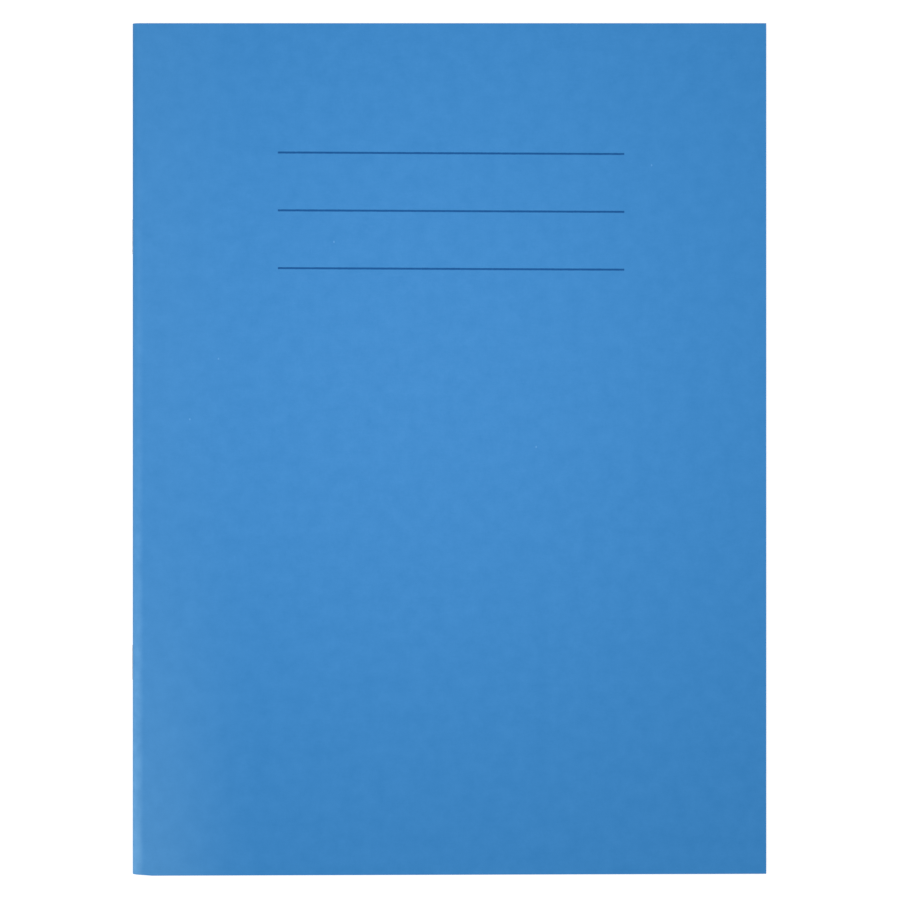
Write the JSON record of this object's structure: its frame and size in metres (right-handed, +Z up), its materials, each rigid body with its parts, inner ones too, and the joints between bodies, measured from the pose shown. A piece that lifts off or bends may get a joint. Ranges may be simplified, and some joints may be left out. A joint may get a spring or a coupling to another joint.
{
  "type": "stapled exercise book",
  "caption": "Thin saddle-stapled exercise book with a folded blue card cover and nested folded sheets; the cover turns right back and the book opens flat at the middle.",
  "frame": {"origin": "under the middle of the closed book, on the face of the back cover that it lies on", "axes": "+X from the spine fold to the fore edge, +Y to the head, +Z up through the front cover"},
  "size_m": [0.2382, 0.32, 0.0047],
  "materials": {
    "page_paper": "matte",
    "cover_card": "matte",
    "staple_wire": "satin"
  },
  "bodies": {
    "back_cover": {"back_cover": "cover_card"},
    "spine": {"cover_spine": "cover_card", "sheet_01_fold": "page_paper", "sheet_02_fold": "page_paper", "sheet_03_fold": "page_paper", "sheet_04_fold": "page_paper", "sheet_05_fold": "page_paper", "sheet_06_fold": "page_paper", "sheet_07_fold": "page_paper", "sheet_08_fold": "page_paper", "sheet_09_fold": "page_paper", "sheet_10_fold": "page_paper", "sheet_11_fold": "page_paper", "sheet_12_fold": "page_paper", "sheet_13_fold": "page_paper", "sheet_14_fold": "page_paper", "sheet_15_fold": "page_paper", "sheet_16_fold": "page_paper", "head_staple": "staple_wire", "tail_staple": "staple_wire"},
    "sheet_01_front_leaf": {"sheet_01_front_leaf": "page_paper"},
    "sheet_02_front_leaf": {"sheet_02_front_leaf": "page_paper"},
    "sheet_03_front_leaf": {"sheet_03_front_leaf": "page_paper"},
    "sheet_04_front_leaf": {"sheet_04_front_leaf": "page_paper"},
    "sheet_05_front_leaf": {"sheet_05_front_leaf": "page_paper"},
    "sheet_06_front_leaf": {"sheet_06_front_leaf": "page_paper"},
    "sheet_07_front_leaf": {"sheet_07_front_leaf": "page_paper"},
    "sheet_08_front_leaf": {"sheet_08_front_leaf": "page_paper"},
    "sheet_09_front_leaf": {"sheet_09_front_leaf": "page_paper"},
    "sheet_10_front_leaf": {"sheet_10_front_leaf": "page_paper"},
    "sheet_11_front_leaf": {"sheet_11_front_leaf": "page_paper"},
    "sheet_12_front_leaf": {"sheet_12_front_leaf": "page_paper"},
    "sheet_13_front_leaf": {"sheet_13_front_leaf": "page_paper"},
    "sheet_14_front_leaf": {"sheet_14_front_leaf": "page_paper"},
    "sheet_15_front_leaf": {"sheet_15_front_leaf": "page_paper"},
    "sheet_16_front_leaf": {"sheet_16_front_leaf": "page_paper"},
    "sheet_01_rear_leaf": {"sheet_01_rear_leaf": "page_paper"},
    "sheet_02_rear_leaf": {"sheet_02_rear_leaf": "page_paper"},
    "sheet_03_rear_leaf": {"sheet_03_rear_leaf": "page_paper"},
    "sheet_04_rear_leaf": {"sheet_04_rear_leaf": "page_paper"},
    "sheet_05_rear_leaf": {"sheet_05_rear_leaf": "page_paper"},
    "sheet_06_rear_leaf": {"sheet_06_rear_leaf": "page_paper"},
    "sheet_07_rear_leaf": {"sheet_07_rear_leaf": "page_paper"},
    "sheet_08_rear_leaf": {"sheet_08_rear_leaf": "page_paper"},
    "sheet_09_rear_leaf": {"sheet_09_rear_leaf": "page_paper"},
    "sheet_10_rear_leaf": {"sheet_10_rear_leaf": "page_paper"},
    "sheet_11_rear_leaf": {"sheet_11_rear_leaf": "page_paper"},
    "sheet_12_rear_leaf": {"sheet_12_rear_leaf": "page_paper"},
    "sheet_13_rear_leaf": {"sheet_13_rear_leaf": "page_paper"},
    "sheet_14_rear_leaf": {"sheet_14_rear_leaf": "page_paper"},
    "sheet_15_rear_leaf": {"sheet_15_rear_leaf": "page_paper"},
    "sheet_16_rear_leaf": {"sheet_16_rear_leaf": "page_paper"},
    "front_cover": {"front_cover": "cover_card"}
  },
  "joints": [
    {"name": "lift_sheet_01", "type": "hinge", "parent": "back_cover", "child": "sheet_01_rear_leaf", "pos_m": [-0.1165, 0, 0.00237], "axis": [0, -1, 0], "range_deg": [0, 0.25]},
    {"name": "open_at_middle", "type": "hinge", "parent": "sheet_01_rear_leaf", "child": "sheet_01_front_leaf", "pos_m": [-0.1165, 0, 0.00237], "axis": [0, -1, 0], "range_deg": [0, 179.5], "deforming": ["cover_spine", "sheet_01_fold", "sheet_02_fold", "sheet_03_fold", "sheet_04_fold", "sheet_05_fold", "sheet_06_fold", "sheet_07_fold", "sheet_08_fold", "sheet_09_fold", "sheet_10_fold", "sheet_11_fold", "sheet_12_fold", "sheet_13_fold", "sheet_14_fold", "sheet_15_fold", "sheet_16_fold"]},
    {"name": "lift_sheet_02", "type": "hinge", "parent": "back_cover", "child": "sheet_02_rear_leaf", "pos_m": [-0.1165, 0, 0.00237], "axis": [0, -1, 0], "range_deg": [0, 0.35]},
    {"name": "open_sheet_02", "type": "hinge", "parent": "sheet_02_rear_leaf", "child": "sheet_02_front_leaf", "pos_m": [-0.1165, 0, 0.00237], "axis": [0, -1, 0], "range_deg": [0, 179.3]},
    {"name": "lift_sheet_03", "type": "hinge", "parent": "back_cover", "child": "sheet_03_rear_leaf", "pos_m": [-0.1165, 0, 0.00237], "axis": [0, -1, 0], "range_deg": [0, 0.45]},
    {"name": "open_sheet_03", "type": "hinge", "parent": "sheet_03_rear_leaf", "child": "sheet_03_front_leaf", "pos_m": [-0.1165, 0, 0.00237], "axis": [0, -1, 0], "range_deg": [0, 179.1]},
    {"name": "lift_sheet_04", "type": "hinge", "parent": "back_cover", "child": "sheet_04_rear_leaf", "pos_m": [-0.1165, 0, 0.00237], "axis": [0, -1, 0], "range_deg": [0, 0.55]},
    {"name": "open_sheet_04", "type": "hinge", "parent": "sheet_04_rear_leaf", "child": "sheet_04_front_leaf", "pos_m": [-0.1165, 0, 0.00237], "axis": [0, -1, 0], "range_deg": [0, 178.9]},
    {"name": "lift_sheet_05", "type": "hinge", "parent": "back_cover", "child": "sheet_05_rear_leaf", "pos_m": [-0.1165, 0, 0.00237], "axis": [0, -1, 0], "range_deg": [0, 0.65]},
    {"name": "open_sheet_05", "type": "hinge", "parent": "sheet_05_rear_leaf", "child": "sheet_05_front_leaf", "pos_m": [-0.1165, 0, 0.00237], "axis": [0, -1, 0], "range_deg": [0, 178.7]},
    {"name": "lift_sheet_06", "type": "hinge", "parent": "back_cover", "child": "sheet_06_rear_leaf", "pos_m": [-0.1165, 0, 0.00237], "axis": [0, -1, 0], "range_deg": [0, 0.75]},
    {"name": "open_sheet_06", "type": "hinge", "parent": "sheet_06_rear_leaf", "child": "sheet_06_front_leaf", "pos_m": [-0.1165, 0, 0.00237], "axis": [0, -1, 0], "range_deg": [0, 178.5]},
    {"name": "lift_sheet_07", "type": "hinge", "parent": "back_cover", "child": "sheet_07_rear_leaf", "pos_m": [-0.1165, 0, 0.00237], "axis": [0, -1, 0], "range_deg": [0, 0.85]},
    {"name": "open_sheet_07", "type": "hinge", "parent": "sheet_07_rear_leaf", "child": "sheet_07_front_leaf", "pos_m": [-0.1165, 0, 0.00237], "axis": [0, -1, 0], "range_deg": [0, 178.3]},
    {"name": "lift_sheet_08", "type": "hinge", "parent": "back_cover", "child": "sheet_08_rear_leaf", "pos_m": [-0.1165, 0, 0.00237], "axis": [0, -1, 0], "range_deg": [0, 0.95]},
    {"name": "open_sheet_08", "type": "hinge", "parent": "sheet_08_rear_leaf", "child": "sheet_08_front_leaf", "pos_m": [-0.1165, 0, 0.00237], "axis": [0, -1, 0], "range_deg": [0, 178.1]},
    {"name": "lift_sheet_09", "type": "hinge", "parent": "back_cover", "child": "sheet_09_rear_leaf", "pos_m": [-0.1165, 0, 0.00237], "axis": [0, -1, 0], "range_deg": [0, 1.05]},
    {"name": "open_sheet_09", "type": "hinge", "parent": "sheet_09_rear_leaf", "child": "sheet_09_front_leaf", "pos_m": [-0.1165, 0, 0.00237], "axis": [0, -1, 0], "range_deg": [0, 177.9]},
    {"name": "lift_sheet_10", "type": "hinge", "parent": "back_cover", "child": "sheet_10_rear_leaf", "pos_m": [-0.1165, 0, 0.00237], "axis": [0, -1, 0], "range_deg": [0, 1.15]},
    {"name": "open_sheet_10", "type": "hinge", "parent": "sheet_10_rear_leaf", "child": "sheet_10_front_leaf", "pos_m": [-0.1165, 0, 0.00237], "axis": [0, -1, 0], "range_deg": [0, 177.7]},
    {"name": "lift_sheet_11", "type": "hinge", "parent": "back_cover", "child": "sheet_11_rear_leaf", "pos_m": [-0.1165, 0, 0.00237], "axis": [0, -1, 0], "range_deg": [0, 1.25]},
    {"name": "open_sheet_11", "type": "hinge", "parent": "sheet_11_rear_leaf", "child": "sheet_11_front_leaf", "pos_m": [-0.1165, 0, 0.00237], "axis": [0, -1, 0], "range_deg": [0, 177.5]},
    {"name": "lift_sheet_12", "type": "hinge", "parent": "back_cover", "child": "sheet_12_rear_leaf", "pos_m": [-0.1165, 0, 0.00237], "axis": [0, -1, 0], "range_deg": [0, 1.35]},
    {"name": "open_sheet_12", "type": "hinge", "parent": "sheet_12_rear_leaf", "child": "sheet_12_front_leaf", "pos_m": [-0.1165, 0, 0.00237], "axis": [0, -1, 0], "range_deg": [0, 177.3]},
    {"name": "lift_sheet_13", "type": "hinge", "parent": "back_cover", "child": "sheet_13_rear_leaf", "pos_m": [-0.1165, 0, 0.00237], "axis": [0, -1, 0], "range_deg": [0, 1.45]},
    {"name": "open_sheet_13", "type": "hinge", "parent": "sheet_13_rear_leaf", "child": "sheet_13_front_leaf", "pos_m": [-0.1165, 0, 0.00237], "axis": [0, -1, 0], "range_deg": [0, 177.1]},
    {"name": "lift_sheet_14", "type": "hinge", "parent": "back_cover", "child": "sheet_14_rear_leaf", "pos_m": [-0.1165, 0, 0.00237], "axis": [0, -1, 0], "range_deg": [0, 1.55]},
    {"name": "open_sheet_14", "type": "hinge", "parent": "sheet_14_rear_leaf", "child": "sheet_14_front_leaf", "pos_m": [-0.1165, 0, 0.00237], "axis": [0, -1, 0], "range_deg": [0, 176.9]},
    {"name": "lift_sheet_15", "type": "hinge", "parent": "back_cover", "child": "sheet_15_rear_leaf", "pos_m": [-0.1165, 0, 0.00237], "axis": [0, -1, 0], "range_deg": [0, 1.65]},
    {"name": "open_sheet_15", "type": "hinge", "parent": "sheet_15_rear_leaf", "child": "sheet_15_front_leaf", "pos_m": [-0.1165, 0, 0.00237], "axis": [0, -1, 0], "range_deg": [0, 176.7]},
    {"name": "lift_sheet_16", "type": "hinge", "parent": "back_cover", "child": "sheet_16_rear_leaf", "pos_m": [-0.1165, 0, 0.00237], "axis": [0, -1, 0], "range_deg": [0, 1.75]},
    {"name": "open_sheet_16", "type": "hinge", "parent": "sheet_16_rear_leaf", "child": "sheet_16_front_leaf", "pos_m": [-0.1165, 0, 0.00237], "axis": [0, -1, 0], "range_deg": [0, 176.5]},
    {"name": "turn_spine", "type": "hinge", "parent": "back_cover", "child": "spine", "pos_m": [-0.1165, 0, 0.00237], "axis": [0, -1, 0], "range_deg": [0, 90]},
    {"name": "turn_front_cover", "type": "hinge", "parent": "sheet_01_front_leaf", "child": "front_cover", "pos_m": [-0.1125, 0, 0.00497], "axis": [0, -1, 0], "range_deg": [0, 179.5], "deforming": ["cover_spine"]}
  ],
  "couplings": [
    {"joint": "lift_sheet_01", "follows": "open_at_middle", "ratio": 0.0013927},
    {"joint": "lift_sheet_02", "follows": "open_at_middle", "ratio": 0.0019498},
    {"joint": "open_sheet_02", "follows": "open_at_middle", "ratio": 0.99889},
    {"joint": "lift_sheet_03", "follows": "open_at_middle", "ratio": 0.0025069},
    {"joint": "open_sheet_03", "follows": "open_at_middle", "ratio": 0.99777},
    {"joint": "lift_sheet_04", "follows": "open_at_middle", "ratio": 0.003064},
    {"joint": "open_sheet_04", "follows": "open_at_middle", "ratio": 0.99666},
    {"joint": "lift_sheet_05", "follows": "open_at_middle", "ratio": 0.0036211},
    {"joint": "open_sheet_05", "follows": "open_at_middle", "ratio": 0.99554},
    {"joint": "lift_sheet_06", "follows": "open_at_middle", "ratio": 0.0041782},
    {"joint": "open_sheet_06", "follows": "open_at_middle", "ratio": 0.99443},
    {"joint": "lift_sheet_07", "follows": "open_at_middle", "ratio": 0.0047353},
    {"joint": "open_sheet_07", "follows": "open_at_middle", "ratio": 0.99331},
    {"joint": "lift_sheet_08", "follows": "open_at_middle", "ratio": 0.0052924},
    {"joint": "open_sheet_08", "follows": "open_at_middle", "ratio": 0.9922},
    {"joint": "lift_sheet_09", "follows": "open_at_middle", "ratio": 0.0058495},
    {"joint": "open_sheet_09", "follows": "open_at_middle", "ratio": 0.99109},
    {"joint": "lift_sheet_10", "follows": "open_at_middle", "ratio": 0.0064066},
    {"joint": "open_sheet_10", "follows": "open_at_middle", "ratio": 0.98997},
    {"joint": "lift_sheet_11", "follows": "open_at_middle", "ratio": 0.0069637},
    {"joint": "open_sheet_11", "follows": "open_at_middle", "ratio": 0.98886},
    {"joint": "lift_sheet_12", "follows": "open_at_middle", "ratio": 0.0075208},
    {"joint": "open_sheet_12", "follows": "open_at_middle", "ratio": 0.98774},
    {"joint": "lift_sheet_13", "follows": "open_at_middle", "ratio": 0.0080779},
    {"joint": "open_sheet_13", "follows": "open_at_middle", "ratio": 0.98663},
    {"joint": "lift_sheet_14", "follows": "open_at_middle", "ratio": 0.008635},
    {"joint": "open_sheet_14", "follows": "open_at_middle", "ratio": 0.98552},
    {"joint": "lift_sheet_15", "follows": "open_at_middle", "ratio": 0.0091922},
    {"joint": "open_sheet_15", "follows": "open_at_middle", "ratio": 0.9844},
    {"joint": "lift_sheet_16", "follows": "open_at_middle", "ratio": 0.0097493},
    {"joint": "open_sheet_16", "follows": "open_at_middle", "ratio": 0.98329},
    {"joint": "turn_spine", "follows": "open_at_middle", "ratio": 0.50139}
  ]
}
